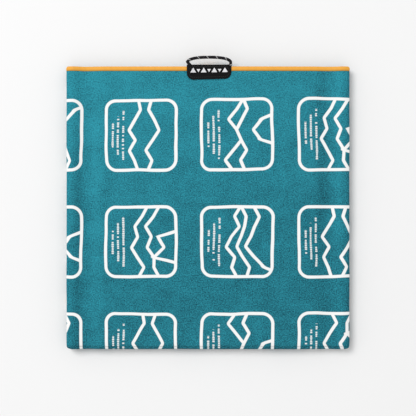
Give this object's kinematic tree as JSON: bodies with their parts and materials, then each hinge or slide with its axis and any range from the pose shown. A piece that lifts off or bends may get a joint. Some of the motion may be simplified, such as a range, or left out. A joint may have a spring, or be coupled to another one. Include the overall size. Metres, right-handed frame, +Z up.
{
  "type": "quick dry towel",
  "caption": "Thin suede towel folded zigzag into a square packet, with overlocked hems, a folded woven label and a short cord hang loop.",
  "frame": {"origin": "centre of the bottom of the folded cloth and its label, on the surface that the packet rests on; the cord loop is left out of that centre", "axes": "+Z up through the stack of leaves, which is its thin side; +Y towards the edge with the label and the loop; +X to the right, along that edge"},
  "size_m": [0.381, 0.3951, 0.021],
  "materials": {
    "cloth": "suede microfibre, matte, printed",
    "hem_thread": "overlock thread, slight sheen",
    "label_tape": "fine woven tape, matte",
    "seam_thread": "sewing thread, slight sheen",
    "cord": "braided cord with pale flecks"
  },
  "bodies": {
    "leaf_1": {"leaf_1": "cloth", "side_hem_left_1": "hem_thread", "side_hem_right_1": "hem_thread", "fold_turn_1": "cloth", "end_hem_far": "hem_thread"},
    "leaf_2": {"leaf_2": "cloth", "side_hem_left_2": "hem_thread", "side_hem_right_2": "hem_thread", "fold_turn_2": "cloth"},
    "leaf_3": {"leaf_3": "cloth", "side_hem_left_3": "hem_thread", "side_hem_right_3": "hem_thread", "fold_turn_3": "cloth"},
    "leaf_4": {"leaf_4": "cloth", "side_hem_left_4": "hem_thread", "side_hem_right_4": "hem_thread", "fold_turn_4": "cloth"},
    "leaf_5": {"leaf_5": "cloth", "side_hem_left_5": "hem_thread", "side_hem_right_5": "hem_thread", "end_hem_label": "hem_thread", "label": "label_tape", "label_stitching": "seam_thread", "cord_end_left": "cord", "cord_end_right": "cord"},
    "hang_loop": {"hang_loop": "cord"}
  },
  "joints": [
    {"name": "fold_1", "type": "hinge", "parent": "leaf_1", "child": "leaf_2", "pos_m": [0, 0.18575, 0.00355], "axis": [-1, 0, 0], "range_deg": [0, 179.5], "deforming": ["fold_turn_1"]},
    {"name": "fold_2", "type": "hinge", "parent": "leaf_2", "child": "leaf_3", "pos_m": [0, -0.18815, 0.00725], "axis": [1, 0, 0], "range_deg": [0, 179.5], "deforming": ["fold_turn_2"]},
    {"name": "fold_3", "type": "hinge", "parent": "leaf_3", "child": "leaf_4", "pos_m": [0, 0.18575, 0.01095], "axis": [-1, 0, 0], "range_deg": [0, 179.5], "deforming": ["fold_turn_3"]},
    {"name": "fold_4", "type": "hinge", "parent": "leaf_4", "child": "leaf_5", "pos_m": [0, -0.18815, 0.01465], "axis": [1, 0, 0], "range_deg": [0, 179.5], "deforming": ["fold_turn_4"]},
    {"name": "hang_loop_swing", "type": "hinge", "parent": "leaf_5", "child": "hang_loop", "pos_m": [0.0014, 0.19395, 0.019], "axis": [1, 0, 0], "range_deg": [-90, 90]}
  ],
  "couplings": [
    {"joint": "fold_2", "follows": "fold_1", "ratio": 1},
    {"joint": "fold_3", "follows": "fold_1", "ratio": 1},
    {"joint": "fold_4", "follows": "fold_1", "ratio": 1}
  ]
}
